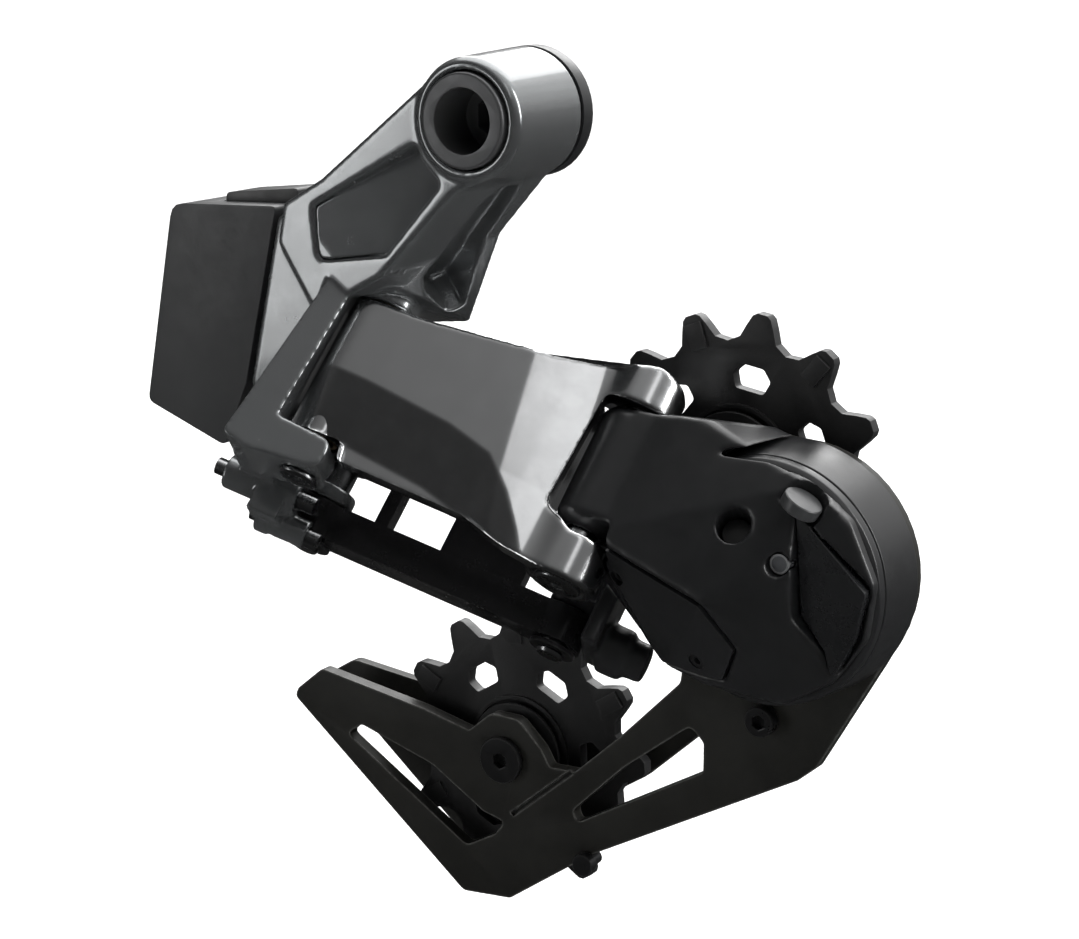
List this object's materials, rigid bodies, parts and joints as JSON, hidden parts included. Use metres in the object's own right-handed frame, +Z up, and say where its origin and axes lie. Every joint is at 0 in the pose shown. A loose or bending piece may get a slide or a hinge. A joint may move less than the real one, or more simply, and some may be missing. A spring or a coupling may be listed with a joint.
{
  "type": "rear derailleur",
  "caption": "Motor-driven bicycle rear derailleur: hanger knuckle with clip-on battery, slanted parallelogram, damped cage and guide pulleys.",
  "frame": {"origin": "on the hanger bolt's axis, in the plane where the stop washer meets the frame's hanger", "axes": "+X forward on the bicycle, +Y inboard towards the wheel along the hanger bolt, +Z up"},
  "size_m": [0.1381, 0.059, 0.1525],
  "materials": {
    "grey_paint": "metallic grey, semi-gloss",
    "polished_silver": "polished, slightly tinted",
    "black_anodised": "matt black anodised",
    "black_steel": "blackened",
    "steel": "plain",
    "bronze": "plain bearing bronze",
    "satin_black": "satin",
    "pulley_black": "fine texture",
    "battery_grey": "satin",
    "smoked_lens": "gloss",
    "board_green": "matt"
  },
  "bodies": {
    "hanger_mount": {"hanger_bolt": "black_steel", "b_stop_washer": "satin_black"},
    "b_knuckle": {"hanger_bush": "bronze", "b_knuckle": "grey_paint", "battery_pack": "battery_grey", "battery_contacts": "bronze", "b_adjust_screw": "black_steel", "outer_pin_b": "steel", "inner_pin_b": "steel", "inner_clip_b": "black_steel", "limit_screw_high": "steel", "limit_screw_low": "steel"},
    "battery_latch": {"battery_latch": "satin_black"},
    "outer_link": {"outer_link": "polished_silver", "outer_bush_b": "bronze", "outer_pin_p": "steel", "sector_gear": "steel"},
    "inner_link": {"inner_link": "black_anodised"},
    "p_knuckle": {"motor_housing": "satin_black", "gearbox_cover": "satin_black", "end_plate": "satin_black", "status_lens": "smoked_lens", "circuit_board": "board_green", "housing_screw_1": "black_steel", "housing_screw_2": "black_steel", "outer_bush_p": "bronze", "inner_pin_p": "steel", "inner_clip_p": "black_steel", "motor_can": "steel", "damper_drum": "satin_black", "clutch_sleeve": "black_steel", "cage_bearing": "steel"},
    "drive_gear": {"drive_gear": "bronze"},
    "function_button": {"function_button": "satin_black"},
    "cage_lock_button": {"cage_lock_button": "black_anodised"},
    "cage": {"cage_axle": "steel", "cage_spring": "steel", "cage_outer_plate": "black_anodised", "cage_inner_plate": "black_anodised", "cage_peg": "black_steel", "cage_stop_bolt": "black_steel", "upper_sleeve": "steel", "upper_cover_outboard": "pulley_black", "upper_cover_inboard": "pulley_black", "upper_pulley_bolt": "black_steel", "lower_sleeve": "steel", "lower_cover_outboard": "pulley_black", "lower_cover_inboard": "pulley_black", "lower_pulley_bolt": "black_steel"},
    "upper_pulley": {"upper_pulley": "pulley_black", "upper_bearing": "steel"},
    "lower_pulley": {"lower_pulley": "pulley_black", "lower_bearing": "steel"}
  },
  "joints": [
    {"name": "hanger_pivot", "type": "hinge", "parent": "hanger_mount", "child": "b_knuckle", "pos_m": [0, 0, 0], "axis": [0, 1, 0], "range_deg": [0, 25]},
    {"name": "latch_hinge", "type": "hinge", "parent": "b_knuckle", "child": "battery_latch", "pos_m": [-0.0401, -0.0088, -0.0159], "axis": [0, 1, 0], "range_deg": [0, 60]},
    {"name": "link_swing", "type": "hinge", "parent": "b_knuckle", "child": "outer_link", "pos_m": [-0.0223, -0.0209, -0.042], "axis": [0.1001, 0.6409, 0.7611], "range_deg": [-8, 62]},
    {"name": "inner_link_swing", "type": "hinge", "parent": "b_knuckle", "child": "inner_link", "pos_m": [-0.03118, -0.00453, -0.05462], "axis": [0.1001, 0.6409, 0.7611], "range_deg": [-8, 62]},
    {"name": "p_knuckle_pivot", "type": "hinge", "parent": "outer_link", "child": "p_knuckle", "pos_m": [0.01971, -0.00966, -0.05699], "axis": [0.1001, 0.6409, 0.7611], "range_deg": [-62, 8]},
    {"name": "drive_gear_spin", "type": "hinge", "parent": "p_knuckle", "child": "drive_gear", "pos_m": [0.02075, -0.00281, -0.0629], "axis": [0.1001, 0.6409, 0.7611], "range_deg": [-54, 8]},
    {"name": "function_button_press", "type": "slide", "parent": "p_knuckle", "child": "function_button", "axis": [-0.1792, 0.764, -0.6198], "range_m": [0, 0.0007], "stiffness_N_per_m": 400},
    {"name": "cage_lock_press", "type": "slide", "parent": "p_knuckle", "child": "cage_lock_button", "axis": [-0.5, 0, -0.866], "range_m": [0, 0.0004], "stiffness_N_per_m": 600},
    {"name": "cage_swing", "type": "hinge", "parent": "p_knuckle", "child": "cage", "pos_m": [0.0475, 0, -0.0704], "axis": [0, -1, 0], "range_deg": [0, 95], "stiffness_Nm_per_rad": 0.25, "springref_deg": -34.38},
    {"name": "upper_pulley_spin", "type": "hinge", "parent": "cage", "child": "upper_pulley", "pos_m": [0.0331, 0.01, -0.0569], "axis": [0, 1, 0], "continuous": true},
    {"name": "lower_pulley_spin", "type": "hinge", "parent": "cage", "child": "lower_pulley", "pos_m": [-0.0092, 0.01, -0.1149], "axis": [0, 1, 0], "continuous": true}
  ],
  "couplings": [
    {"joint": "inner_link_swing", "follows": "link_swing", "ratio": 1},
    {"joint": "p_knuckle_pivot", "follows": "link_swing", "ratio": -1},
    {"joint": "drive_gear_spin", "follows": "link_swing", "ratio": -0.85714}
  ]
}
